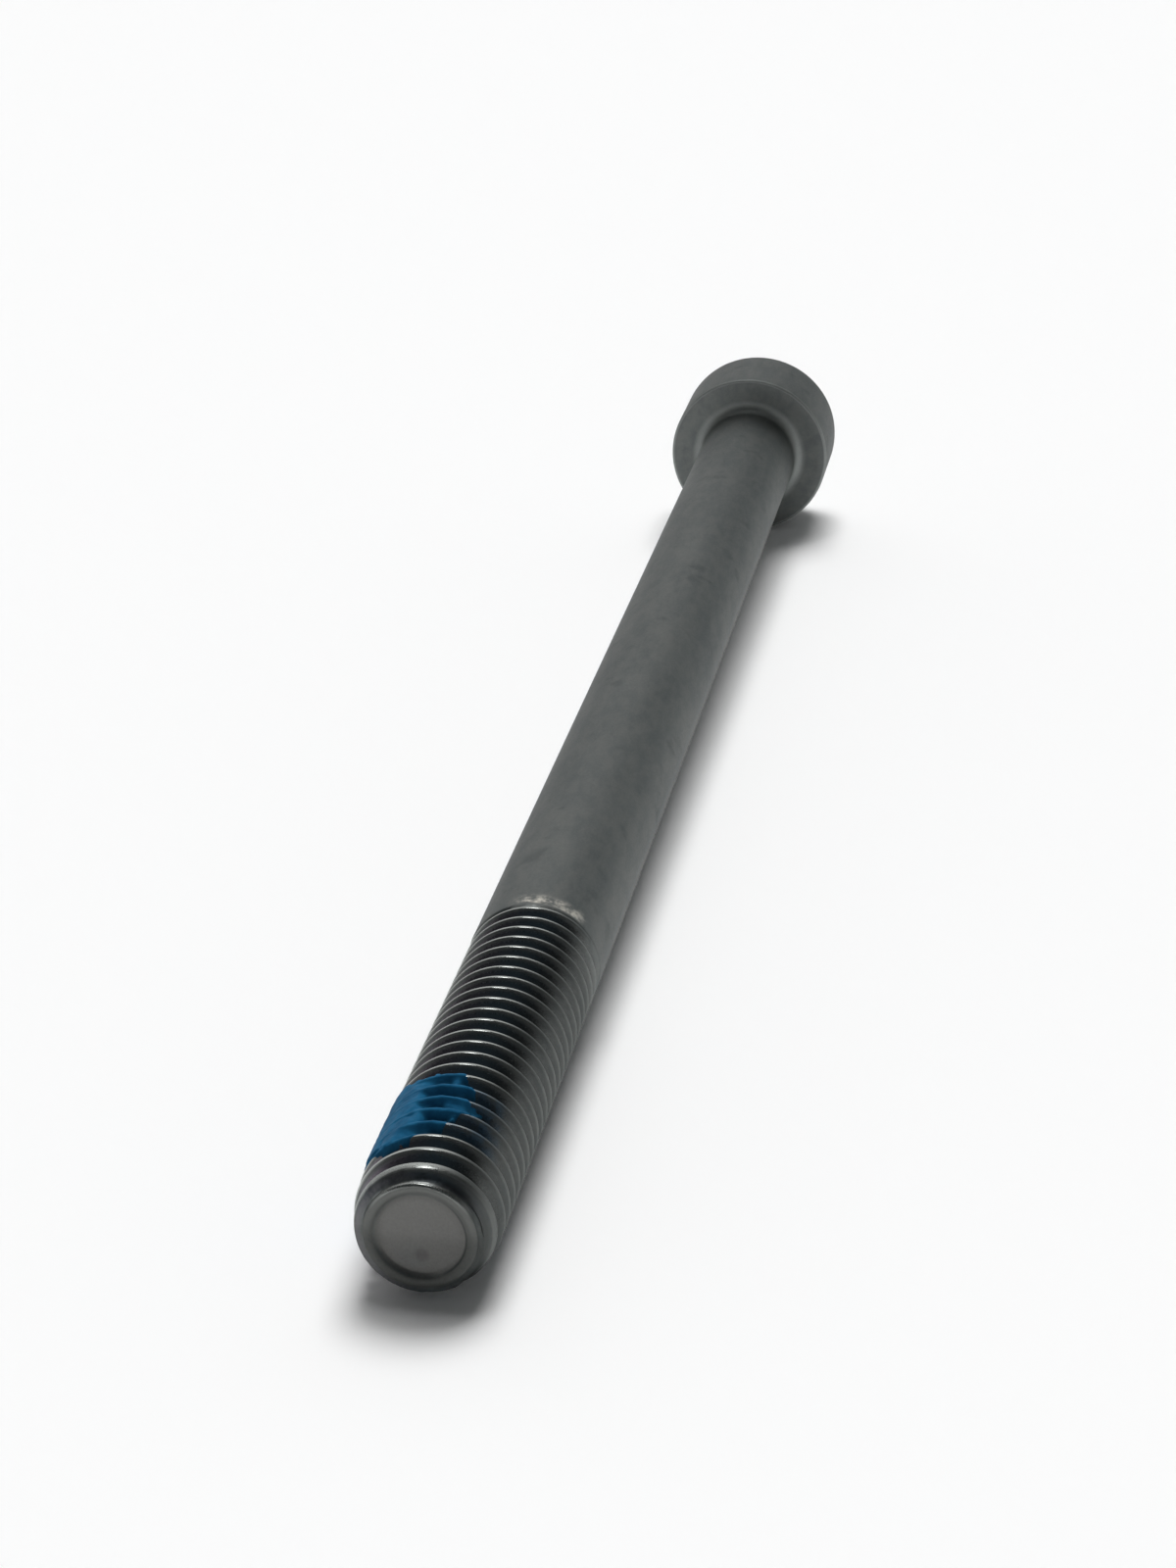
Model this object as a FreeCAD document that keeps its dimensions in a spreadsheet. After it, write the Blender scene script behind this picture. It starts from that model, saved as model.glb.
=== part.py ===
import FreeCAD, Part
import math
import os
import Sketcher

# A long hexagon socket head bolt with a blue locking patch on its thread, in millimetres.
# The bolt is one steel piece: a headed and rolled blank with a hexagon socket in its head.
# The patch is a thin coat of nylon fused over one side of the thread.
# Both are drawn along +X, from the seat under the head at x = 0 towards the thread end,
# and are then laid on the ground plane as the bolt comes to rest: on the head's edge and the thread's end.

SIZES = [
    # shank and thread
    ("BoltLength", 100.0),        # seat under the head to the thread end
    ("ShankDiameter", 5.92),      # plain shank of a 6 mm bolt
    ("ThreadDiameter", 5.88),     # over the crests of the rolled thread, pitch 1 mm
    ("ThreadLength", 24.0),       # thread end to the last trace of the run-out
    ("RunoutLength", 1.0),        # cone between the full thread and the shank
    # head
    ("HeadDiameter", 9.9),
    ("HeadHeight", 6.0),
    ("HeadRound", 0.7),           # rounding round the flat top of the head
    ("SeatChamfer", 0.15),        # broken edge of the seat
    ("NeckFillet", 0.5),          # hollow between the shank and the seat
    # hexagon socket
    ("SocketFlats", 5.0),         # across flats
    ("SocketDepth", 3.0),         # depth of the flats
    ("SocketPoint", 0.7),         # depth of the shallow cone below the flats
    ("MouthDiameter", 6.1),       # lead-in cone at the mouth of the socket
    ("MouthDepth", 0.25),
    # thread end
    ("TaperLength", 2.0),         # thread end to the first full thread
    ("NoseDiameter", 5.3),        # where the taper meets the rounded nose
    ("NoseLength", 0.3),
    ("NoseRound", 0.35),
    ("RimDiameter", 4.14),        # ridge round the dished end
    ("RimRound", 0.12),
    ("DishDiameter", 3.44),       # flat floor of the dish
    ("DishDepth", 0.25),
    # locking patch
    ("PatchSetback", 0.1),        # first full thread to the near edge of the patch
    ("PatchLength", 6.0),
    ("PatchThickness", 0.16),     # how far it stands proud of the crests
    ("PatchAngle", 72.0),         # middle of the patch, in degrees from straight up towards -Y
    ("PatchSpan", 156.0),         # how far round the thread it reaches, in degrees
    # how it lies
    ("BoltTurn", 4.0),            # turn of the bolt about its own axis, in degrees: it may lie at any
]

PICK_TOLERANCE = 1e-4


def make_sheet(doc):
    """The driving dimensions, one row each: a name and a plain number with that name as its alias."""
    sheet = doc.addObject("Spreadsheet::Sheet", "Sizes")
    for row, (name, value) in enumerate(SIZES, start=1):
        sheet.set(f"A{row}", name)
        sheet.set(f"B{row}", str(value))
        sheet.setAlias(f"B{row}", name)
    doc.recompute()
    return sheet


def origin_plane(body, role):
    """One of the body's own origin planes, such as XZ_Plane."""
    return next(item for item in body.Origin.OriginFeatures if item.Role == role)


def new_body(doc, label):
    body = doc.addObject("PartDesign::Body", label)
    body.Label = label
    return body


def new_sketch(body, name, role):
    sketch = body.newObject("Sketcher::SketchObject", name)
    sketch.AttachmentSupport = (origin_plane(body, role), [""])
    sketch.MapMode = "FlatFace"
    return sketch


def bind(sketch, constraint, expression):
    """Add one constraint and give it its size from the sheet."""
    index = sketch.addConstraint(constraint)
    sketch.setExpression(f"Constraints[{index}]", expression)


def place_corner(sketch, line, end, across, up):
    """Fix one end of a line by its two coordinates. None keeps the point on that axis."""
    x_axis, y_axis = -1, -2
    if across is None:
        sketch.addConstraint(Sketcher.Constraint("PointOnObject", line, end, y_axis))
    else:
        bind(sketch, Sketcher.Constraint("DistanceX", -1, 1, line, end, 1.0), across)
    if up is None:
        sketch.addConstraint(Sketcher.Constraint("PointOnObject", line, end, x_axis))
    else:
        bind(sketch, Sketcher.Constraint("DistanceY", -1, 1, line, end, 1.0), up)


def draw_outline(sketch, sizes, corners):
    """A closed outline of straight lines through corners given as pairs of expressions."""
    points = [corner_point(sizes, corner) for corner in corners]
    count = len(corners)
    for index in range(count):
        sketch.addGeometry(Part.LineSegment(points[index], points[(index + 1) % count]), False)
    for index in range(count):
        following = (index + 1) % count
        sketch.addConstraint(Sketcher.Constraint("Coincident", index, 2, following, 1))
    for index, (across, up) in enumerate(corners):
        place_corner(sketch, index, 1, across, up)


def corner_point(sizes, corner):
    """Where a corner starts out, so that the solver begins at the finished outline."""
    values = [0.0 if text is None else sizes.evalExpression(text) for text in corner]
    return FreeCAD.Vector(float(values[0]), float(values[1]), 0)


def revolve(body, sketch, name, kind="PartDesign::Revolution"):
    """Turn an outline once round the bolt's axis."""
    turned = body.newObject(kind, name)
    turned.Profile = sketch
    turned.ReferenceAxis = (sketch, ["H_Axis"])
    turned.Angle = 360.0
    return turned


def ring_edge(feature, radius, along):
    """The name of the circular edge with this radius at this place along the bolt."""
    for index, edge in enumerate(feature.Shape.Edges, start=1):
        curve = edge.Curve
        if not isinstance(curve, Part.Circle):
            continue
        if abs(curve.Radius - radius) < PICK_TOLERANCE and abs(curve.Center.x - along) < PICK_TOLERANCE:
            return f"Edge{index}"
    raise RuntimeError(f"no ring of radius {radius} at {along} on {feature.Label}")


def dress_ring(doc, body, kind, name, radius, along, size_property, expression):
    """Round or chamfer one ring of the piece as it is so far."""
    base = body.Tip
    dressed = body.newObject(kind, name)
    dressed.Base = (base, [ring_edge(base, radius, along)])
    dressed.setExpression(size_property, expression)
    doc.recompute()
    return dressed


def make_bolt(doc, sizes):
    """The steel piece: the turned form, its broken edges and the socket in its head."""
    body = new_body(doc, "bolt")
    turn_blank(doc, body, sizes)
    dress_edges(doc, body, sizes)
    sink_socket(doc, body, sizes)
    return body


def turn_blank(doc, body, sizes):
    """Everything round in one outline, from the top of the head to the dished thread end."""
    thread_start = "Sizes.BoltLength - Sizes.ThreadLength"
    outline = new_sketch(body, "bolt_outline", "XZ_Plane")
    draw_outline(outline, sizes, [
        ("-Sizes.HeadHeight", None),
        ("-Sizes.HeadHeight", "Sizes.HeadDiameter / 2"),
        (None, "Sizes.HeadDiameter / 2"),
        (None, "Sizes.ShankDiameter / 2"),
        (thread_start, "Sizes.ShankDiameter / 2"),
        (thread_start + " + Sizes.RunoutLength", "Sizes.ThreadDiameter / 2"),
        ("Sizes.BoltLength - Sizes.TaperLength", "Sizes.ThreadDiameter / 2"),
        ("Sizes.BoltLength - Sizes.NoseLength", "Sizes.NoseDiameter / 2"),
        ("Sizes.BoltLength", "Sizes.RimDiameter / 2"),
        ("Sizes.BoltLength - Sizes.DishDepth", "Sizes.DishDiameter / 2"),
        ("Sizes.BoltLength - Sizes.DishDepth", None),
    ])
    revolve(body, outline, "turned_form")
    doc.recompute()


def dress_edges(doc, body, sizes):
    """The hollow under the head, the edges of the head and the soft edges of the thread end."""
    head = sizes.HeadDiameter / 2
    nose_start = sizes.BoltLength - sizes.NoseLength
    dress_ring(doc, body, "PartDesign::Fillet", "neck_fillet",
               sizes.ShankDiameter / 2, 0.0, "Radius", "Sizes.NeckFillet")
    dress_ring(doc, body, "PartDesign::Chamfer", "seat_chamfer", head, 0.0, "Size", "Sizes.SeatChamfer")
    dress_ring(doc, body, "PartDesign::Fillet", "head_round",
               head, -sizes.HeadHeight, "Radius", "Sizes.HeadRound")
    dress_ring(doc, body, "PartDesign::Fillet", "nose_round",
               sizes.NoseDiameter / 2, nose_start, "Radius", "Sizes.NoseRound")
    dress_ring(doc, body, "PartDesign::Fillet", "rim_round",
               sizes.RimDiameter / 2, sizes.BoltLength, "Radius", "Sizes.RimRound")


def sink_socket(doc, body, sizes):
    """The hexagon socket: six flats, a shallow cone below them and a lead-in cone at the mouth."""
    flats = new_sketch(body, "socket_flats", "YZ_Plane")
    flats.AttachmentOffset = FreeCAD.Placement(FreeCAD.Vector(0, 0, 0), FreeCAD.Rotation())
    flats.setExpression("AttachmentOffset.Base.z", "-Sizes.HeadHeight")
    draw_hexagon(flats, sizes)
    pocket = body.newObject("PartDesign::Pocket", "socket")
    pocket.Profile = flats
    pocket.Type = "Length"
    pocket.setExpression("Length", "Sizes.SocketDepth")
    pocket.Reversed = True
    doc.recompute()

    # the cone starts as wide as the flats are apart, so it leaves a small step in the six corners
    bottom = "Sizes.SocketDepth - Sizes.HeadHeight"
    point = new_sketch(body, "socket_point_outline", "XZ_Plane")
    draw_outline(point, sizes, [
        (bottom, None),
        (bottom, "Sizes.SocketFlats / 2"),
        (bottom + " + Sizes.SocketPoint", None),
    ])
    revolve(body, point, "socket_point", "PartDesign::Groove")
    doc.recompute()

    mouth = new_sketch(body, "socket_mouth_outline", "XZ_Plane")
    draw_outline(mouth, sizes, [
        ("-Sizes.HeadHeight", None),
        ("-Sizes.HeadHeight", "Sizes.MouthDiameter / 2"),
        ("Sizes.MouthDepth - Sizes.HeadHeight", "Sizes.SocketFlats / 2"),
        ("Sizes.MouthDepth - Sizes.HeadHeight", None),
    ])
    revolve(body, mouth, "socket_mouth", "PartDesign::Groove")
    doc.recompute()


def draw_hexagon(sketch, sizes):
    """A regular hexagon centred on the axis, with two flats level."""
    radius = sizes.SocketFlats / math.sqrt(3)
    corners = [FreeCAD.Vector(radius * math.cos(math.radians(60 * step)),
                              radius * math.sin(math.radians(60 * step)), 0) for step in range(6)]
    for index in range(6):
        sketch.addGeometry(Part.LineSegment(corners[index], corners[(index + 1) % 6]), False)
    circle = sketch.addGeometry(Part.Circle(FreeCAD.Vector(0, 0, 0), FreeCAD.Vector(0, 0, 1), radius), True)
    for index in range(6):
        sketch.addConstraint(Sketcher.Constraint("Coincident", index, 2, (index + 1) % 6, 1))
        sketch.addConstraint(Sketcher.Constraint("PointOnObject", index, 1, circle))
    for index in range(1, 6):
        sketch.addConstraint(Sketcher.Constraint("Equal", 0, index))
    sketch.addConstraint(Sketcher.Constraint("Coincident", circle, 3, -1, 1))
    sketch.addConstraint(Sketcher.Constraint("PointOnObject", 0, 1, -1))
    bind(sketch, Sketcher.Constraint("Diameter", circle, 2 * radius), "2 * Sizes.SocketFlats / sqrt(3)")


def make_patch(doc, sizes):
    """A thin curved coat, seated on the crests of the thread over part of the way round."""
    body = new_body(doc, "locking_patch")
    section = new_sketch(body, "patch_section", "XZ_Plane")
    start = "Sizes.BoltLength - Sizes.TaperLength - Sizes.PatchSetback"
    draw_outline(section, sizes, [
        (start, "Sizes.ThreadDiameter / 2"),
        (start, "Sizes.ThreadDiameter / 2 + Sizes.PatchThickness"),
        (start + " - Sizes.PatchLength", "Sizes.ThreadDiameter / 2 + Sizes.PatchThickness"),
        (start + " - Sizes.PatchLength", "Sizes.ThreadDiameter / 2"),
    ])
    coat = revolve(body, section, "patch_coat")
    coat.Midplane = True
    coat.setExpression("Angle", "Sizes.PatchSpan")
    doc.recompute()
    return body


def lay_down(shape, sizes):
    """The placement that rests the bolt on the ground, on its seat's edge and its first full thread."""
    seat_edge = FreeCAD.Vector(-sizes.SeatChamfer, 0, -sizes.HeadDiameter / 2)
    thread_edge = FreeCAD.Vector(sizes.BoltLength - sizes.TaperLength, 0, -sizes.ThreadDiameter / 2)
    rise = thread_edge.z - seat_edge.z
    run = thread_edge.x - seat_edge.x
    tilt = FreeCAD.Rotation(FreeCAD.Vector(0, 1, 0), math.degrees(math.atan2(rise, run)))

    # once tilted, both edges are level: that is the ground, and the middle of the length is the origin
    tilted = shape.copy()
    tilted.Placement = FreeCAD.Placement(FreeCAD.Vector(0, 0, 0), tilt)
    box = tilted.optimalBoundingBox(False)
    middle = FreeCAD.Vector((box.XMin + box.XMax) / 2, 0, tilt.multVec(seat_edge).z)
    return FreeCAD.Placement(-middle, tilt)


def turn_about_axis(degrees):
    turn = FreeCAD.Rotation(FreeCAD.Vector(1, 0, 0), degrees)
    return FreeCAD.Placement(FreeCAD.Vector(0, 0, 0), turn)


def check(doc):
    """Stop on any failed feature before anything is written."""
    for item in doc.Objects:
        if "Invalid" in item.State or "Error" in item.State:
            raise RuntimeError(f"{item.Label} failed: {item.State}")


def main():
    os.makedirs("parts", exist_ok=True)
    doc = FreeCAD.newDocument("hex_socket_bolt")
    sizes = make_sheet(doc)
    bolt = make_bolt(doc, sizes)
    patch = make_patch(doc, sizes)

    rest = lay_down(bolt.Shape, sizes)
    bolt.Placement = rest.multiply(turn_about_axis(sizes.BoltTurn))
    patch.Placement = rest.multiply(turn_about_axis(sizes.PatchAngle))
    doc.recompute()
    check(doc)

    for body in (bolt, patch):
        shape = body.Shape
        if shape.isNull() or not shape.isValid() or len(shape.Solids) != 1:
            raise RuntimeError(f"{body.Label} is not one valid solid")
        box = shape.optimalBoundingBox(False)
        print(f"{body.Label}: {shape.Volume:.1f} mm3, x {box.XMin:.2f} to {box.XMax:.2f},"
              f" y {box.YMin:.2f} to {box.YMax:.2f}, z {box.ZMin:.3f} to {box.ZMax:.2f}")
        shape.exportStep(f"parts/{body.Label}.step")


main()
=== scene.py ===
# %% [markdown]
# # A long hexagon socket bolt, lying on a white table
# This notebook builds the looks of one steel bolt: a cylindrical head with a hexagon socket, a plain shank,
# a rolled thread and a blue nylon patch on the thread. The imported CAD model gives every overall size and
# the place. It is loaded first and never changed: the pieces made here are laid over it in the same frame,
# in metres, with the bolt along +X and its thread end towards the camera, so that +Y is on the right.

# %% Load the fixed frame
import bmesh
import bpy
import math
import numpy as np
from mathutils import Matrix, Vector


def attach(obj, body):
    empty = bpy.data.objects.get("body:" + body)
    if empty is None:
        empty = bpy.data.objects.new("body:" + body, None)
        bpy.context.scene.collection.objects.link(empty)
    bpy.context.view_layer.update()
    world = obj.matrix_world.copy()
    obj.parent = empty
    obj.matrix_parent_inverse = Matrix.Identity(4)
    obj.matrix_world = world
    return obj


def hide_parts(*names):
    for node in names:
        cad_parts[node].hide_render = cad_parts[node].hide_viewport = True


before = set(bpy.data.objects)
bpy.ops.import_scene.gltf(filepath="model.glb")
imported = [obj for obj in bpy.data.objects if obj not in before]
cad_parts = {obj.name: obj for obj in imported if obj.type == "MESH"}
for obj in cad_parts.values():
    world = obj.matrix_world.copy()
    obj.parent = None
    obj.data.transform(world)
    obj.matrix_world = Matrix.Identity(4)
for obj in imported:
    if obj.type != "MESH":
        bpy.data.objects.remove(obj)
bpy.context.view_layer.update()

# %% [markdown]
# ## The bolt's own measure
# A bolt is easiest to think of along its own axis, so the shapes below are drawn in millimetres with two
# numbers: how far a point is from the thread end, and how far from the axis. The bolt lies on the edge of
# its wide head and on its thread, so its axis dips a little towards the thread end. The finished bolt could be
# turned by hand, but then its size and place would drift from the CAD model. Instead one matrix turns the
# straight drawing into that resting place, point by point. Its seat, the flat under the head, is the fixed
# point.

# %% Sizes of the bolt and its resting place
MM = 0.001
BOLT_LENGTH = 100.0        # thread end to the seat
HEAD_RADIUS = 4.95
SHANK_RADIUS = 2.96
CREST_RADIUS = 2.94
FULL_THREAD = 2.0          # thread end to the first full thread, which touches the table
SEAT_CHAMFER = 0.15
SEAT_X = -46.95773         # the seat's place in the frame, as in the CAD model

dip = math.atan2(HEAD_RADIUS - CREST_RADIUS, BOLT_LENGTH - FULL_THREAD + SEAT_CHAMFER)
seat_height = HEAD_RADIUS * math.cos(dip) - SEAT_CHAMFER * math.sin(dip)
seat = Vector((SEAT_X * MM, 0.0, seat_height * MM))
to_frame = Matrix.Translation(seat) @ Matrix.Rotation(dip, 4, "Y") @ Matrix.Scale(MM, 4)
print("dip of the axis, degrees:", round(math.degrees(dip), 3))
print("seat, mm:", [round(c / MM, 3) for c in seat])

# %% From bolt millimetres to the frame in metres


def place(from_end, radius, angle):
    """Points in the frame, from bolt measures: mm from the thread end, mm from the axis, and degrees from the
    top towards +Y."""
    turn = np.radians(angle)
    along = BOLT_LENGTH - from_end
    local = np.stack([along, radius * np.sin(turn), radius * np.cos(turn), np.ones_like(turn)], -1)
    return (local @ np.array(to_frame).T)[..., :3]


tip = place(np.array([0.0]), np.array([0.0]), np.array([0.0]))[0]
print("the thread end's middle, mm:", (tip / MM).round(2).tolist())

# %% [markdown]
# ## The thread's profile
# A metric thread is a ridge of 60 degrees wound round the shank, one turn for each pitch. Rolling presses it
# in between two dies: the groove goes down and the crest swells up, so the crest is a little round and never
# quite reaches the nominal size. Blender's Screw modifier could wind such a ridge, but its ends would then
# have to be cut off and joined to the shank. Here the profile is given as rows, each one a place within the
# pitch and a radius. All that is drawn later on the thread follows these rows, so crests and flanks stay
# crisp.

# %% One pitch of the thread
PITCH = 1.0
ROOT_RADIUS = 2.39
CREST_AT_TOP = 9.7415      # mm from the thread end to one crest, on top of the bolt

half_profile = [(0.0, CREST_RADIUS), (0.045, 2.937), (0.085, 2.922), (0.115, 2.885), (0.2, 2.74),
                (0.31, 2.55), (0.395, 2.42), (0.44, 2.396), (0.5, ROOT_RADIUS)]
other_half = half_profile[-2:0:-1]
profile_place = np.array([-p for p, _ in other_half] + [p for p, _ in half_profile])
profile_radius = np.array([r for _, r in other_half + half_profile])
print("rows in one pitch:", len(profile_place))
print("depth of the thread, mm:", round(CREST_RADIUS - ROOT_RADIUS, 2))

# %% The endless thread


def thread_radius(from_end, angle):
    """Radius of the endless thread. It is right-handed: crests go away from the end as the angle grows."""
    crest = CREST_AT_TOP + PITCH * angle / 360.0
    within = (from_end - crest + PITCH / 2) % PITCH - PITCH / 2
    ends_place = np.concatenate([[-PITCH / 2], profile_place])
    ends_radius = np.concatenate([[ROOT_RADIUS], profile_radius])
    return np.interp(within, ends_place, ends_radius)


print("radius at a crest on top:", thread_radius(CREST_AT_TOP, 0.0), " and half a turn on:",
      thread_radius(CREST_AT_TOP, 180.0))

# %% [markdown]
# ## The thread end and the run-out
# The end of the bolt was sheared and pressed before rolling: a shallow dish with a rounded ridge, a soft nose
# and a taper. The dies only fill the metal that is there, so on the taper the crests are lower. At the other
# side the grooves come up to the plain shank on a short cone. Booleans with cones could cut both ends, but
# they leave thin faces along a helix. Here each end is one curve that limits the thread, and the surface is
# the smaller or the larger of the two.

# %% What limits the thread at its two ends
THREAD_LENGTH = 24.0
nose_curve = np.array([(0.0, 2.05), (0.02, 2.12), (0.05, 2.19), (0.09, 2.235), (0.14, 2.255), (0.2, 2.265),
                       (0.25, 2.29), (0.3, 2.42), (0.36, 2.6), (0.74, 2.73), (1.14, 2.81), (1.6, 2.9),
                       (2.0, 2.95), (2.6, 3.02), (3.5, 3.1)])
runout_curve = np.array([(23.4, 2.3), (23.7, 2.55), (23.92, 2.93), (THREAD_LENGTH, 2.964)])
corner_softness = np.array([(0.0, 0.025), (0.4, 0.05), (1.2, 0.05), (3.0, 0.004)])
NOSE_SINK = 0.08           # the first groove is deeper, because the shear necked the end down
SINK_START = 0.1
SINK_LENGTH = 0.7
print("the nose rises from", nose_curve[0, 1], "to", nose_curve[-1, 1], "mm from the axis")

# %% Soft steps and rounded corners


def ease(value):
    """A soft step from 0 to 1."""
    clipped = np.clip(value, 0, 1)
    return clipped * clipped * (3 - 2 * clipped)


def smooth_min(a, b, softness):
    """The smaller of two values, with a rounded change from one to the other."""
    return np.minimum(a, b) - softness * np.log1p(np.exp(-np.abs(a - b) / softness))


def steel_radius(from_end, angle):
    """The outside of the steel at a place between the nose and the shank."""
    thread = thread_radius(from_end, angle) - NOSE_SINK * (1 - ease((from_end - SINK_START) / SINK_LENGTH))
    limit = np.interp(from_end, nose_curve[:, 0], nose_curve[:, 1])
    rolled = smooth_min(thread, limit, np.interp(from_end, corner_softness[:, 0], corner_softness[:, 1]))
    runout = np.interp(from_end, runout_curve[:, 0], runout_curve[:, 1], left=0.0)
    return np.maximum(rolled, runout)


print("first crest on top, mm from the axis:", round(float(steel_radius(CREST_AT_TOP - 9 * PITCH, 0.0)), 3))

# %% [markdown]
# ## Rows of points round the bolt
# The whole bolt is one skin, made of rows of points that go once round. On plain stretches a row is a flat
# ring. On the thread a row follows the helix: it moves on by one pitch per turn and joins the row of the next
# pitch where it comes round. That keeps every crest on one clean row, where flat rings would cut it into
# steps. Rows that run past the stretch are held at its ends, and the doubled points there are merged.

# %% Helical rows for the thread
SEGMENTS = 144
FIRST_ANGLE = 1.0          # so that every ring has a point at each corner of the socket
THREAD_FROM = 0.08         # the dish's ridge is drawn with flat rings up to here
angles = FIRST_ANGLE + np.arange(SEGMENTS + 1) * 360.0 / SEGMENTS


def helical_rows(start, stop, round_angles):
    """Places along the bolt of rows that follow the thread, held between start and stop."""
    turns = np.arange(math.floor(start - CREST_AT_TOP) - 2, math.ceil(stop - CREST_AT_TOP) + 2)
    bases = (CREST_AT_TOP + turns[:, None] * PITCH + profile_place[None, :]).ravel()
    places = bases[:, None] + PITCH * round_angles[None, :] / 360.0
    return np.clip(places, start, stop)


thread_places = helical_rows(THREAD_FROM, THREAD_LENGTH, angles)
thread_radii = steel_radius(thread_places, np.broadcast_to(angles, thread_places.shape))
print("thread rows and points in each:", thread_places.shape)

# %% [markdown]
# ## The dished end
# The ridge and the dish are what the shear and the die leave of the cut rod. The dish's floor isn't quite
# square to the axis: it was pressed deeper on one side. It could be tilted by hand in Edit Mode. Flat rings
# with one cosine that leans the floor do the same and keep the ridge round it level.

# %% Rings of the dished end
dish_rings = [(0.27, 0.0), (0.268, 0.5), (0.25, 1.0), (0.235, 1.4), (0.215, 1.6), (0.17, 1.7), (0.09, 1.82),
              (0.035, 1.92), (0.02, 2.0), (0.022, 2.06), (0.035, 2.13), (0.055, 2.185)]
DISH_LEAN = 0.08           # how much deeper the floor is at its edge on the deep side
DEEP_SIDE = 208.0          # degrees from the top: below the axis and a little to the -Y side
FLOOR_RADIUS = 1.7
WALL_TOP = 1.88            # the lean fades out on the dish's wall, below this radius
WALL_WIDTH = 0.2


def ring_rows(rings):
    """Flat rings as rows of places and radii."""
    places = np.array([[p] * len(angles) for p, _ in rings])
    radii = np.array([[r] * len(angles) for _, r in rings])
    return places, radii


dish_places, dish_radii = ring_rows(dish_rings)
floor_lean = DISH_LEAN * np.cos(np.radians(angles - DEEP_SIDE)) * dish_radii / FLOOR_RADIUS
dish_places = dish_places + floor_lean * ease((WALL_TOP - dish_radii) / WALL_WIDTH)
print("deepest point of the dish, mm from the ridge:", round(float(dish_places.max()), 3))

# %% [markdown]
# ## The shank, the neck and the head
# The shank stays as drawn, and the head is upset from the rod in a die, which rounds its top edge. The hollow
# between shank and seat stops the head from cracking off. A Bevel modifier could round the edges, but here
# each has a radius of its own, so the rings are lists of places and radii, with a few more of them on each
# rounding, because light catches there first.

# %% Rings of the shank, the neck and the outside of the head
NECK_FILLET = 0.5
HEAD_HEIGHT = 6.0
HEAD_ROUND = 0.7
HEAD_TOP = BOLT_LENGTH + HEAD_HEIGHT


def arc(centre, radius, start, stop, steps):
    """Rings along an arc: centre as mm from the thread end and from the axis, angles in degrees."""
    swept = np.radians(np.linspace(start, stop, steps))
    return [(centre[0] + radius * math.cos(a), centre[1] + radius * math.sin(a)) for a in swept]


# Rolling pushes a little metal back, so the shank swells by 0.01 mm right behind the thread.
shank_rings = [(24.06, 2.969), (24.2, 2.969), (24.6, 2.964), (25.2, SHANK_RADIUS)]
shank_rings += [(p, SHANK_RADIUS) for p in np.arange(26.0, 99.0, 2.0)]
neck_rings = arc((BOLT_LENGTH - NECK_FILLET, SHANK_RADIUS + NECK_FILLET), NECK_FILLET, -90, 0, 8)
head_rings = [(BOLT_LENGTH, 4.3)]
head_rings += arc((BOLT_LENGTH + SEAT_CHAMFER, HEAD_RADIUS - SEAT_CHAMFER), SEAT_CHAMFER, 180, 90, 6)
head_rings += [(BOLT_LENGTH + 2.0, HEAD_RADIUS), (BOLT_LENGTH + 4.0, HEAD_RADIUS)]
head_rings += arc((HEAD_TOP - HEAD_ROUND, HEAD_RADIUS - HEAD_ROUND), HEAD_ROUND, 90, 0, 9)
head_rings += [(HEAD_TOP, 3.7), (HEAD_TOP, 3.1)]
print("flat rings:", len(dish_rings) + len(shank_rings) + len(neck_rings) + len(head_rings))

# %% [markdown]
# ## The hexagon socket
# A punch forms the socket while the head is upset: six flats for the key, a lead-in cone at the mouth and a
# shallow point at the bottom. A hexagon could be cut with a boolean, but then the skin would need mending.
# Here it comes from the same rows: the radius of a hexagon at an angle is its flat's distance over a cosine.

# %% Rows of the socket
HALF_FLATS = 2.5
MOUTH_RADIUS = 3.05
MOUTH_DEPTH = 0.25
SOCKET_DEPTH = 3.0
SOCKET_POINT = 0.7
CORNER_ANGLE = 26.0        # one corner of the hexagon, in degrees from the top
DRAFT = 0.01               # the flats stand in by this much under the cone, so the cone's edge stays crisp
DRAFT_DEPTH = 0.04
BEVEL = 0.05               # the small bevel where the flats meet the floor
CORNER_CUT = 0.25          # the floor's corners are rounded off this far outside the flats
POINT_TIP = 0.35           # radius of the punched point's blunt tip, over the last tenth of its depth

from_corner = (angles - CORNER_ANGLE) % 60.0
hexagon = HALF_FLATS / np.cos(np.radians(from_corner - 30.0))
cone_depth = MOUTH_DEPTH * (MOUTH_RADIUS - hexagon) / (MOUTH_RADIUS - HALF_FLATS)
floor_place = HEAD_TOP - SOCKET_DEPTH
level = np.ones_like(angles)
socket_rows = [
    (HEAD_TOP * level, MOUTH_RADIUS * level),                      # the cone's mouth
    (HEAD_TOP - cone_depth, hexagon),                              # where the cone meets the flats
    (HEAD_TOP - cone_depth - DRAFT_DEPTH, hexagon - DRAFT),
    ((HEAD_TOP - SOCKET_DEPTH / 2) * level, hexagon - DRAFT),      # half way down the flats
    ((floor_place + BEVEL) * level, hexagon - DRAFT),              # the bevel at the bottom
    (floor_place * level, np.minimum(hexagon - DRAFT - BEVEL, HALF_FLATS + CORNER_CUT)),
    (floor_place * level, (HALF_FLATS - BEVEL) * level),           # the edge of the punched point
    ((floor_place - SOCKET_POINT * 0.9) * level, POINT_TIP * level),
    ((floor_place - SOCKET_POINT) * level, 0.0 * level),
]
print("socket across corners, mm:", round(2 * float(hexagon.max()), 2))

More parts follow.
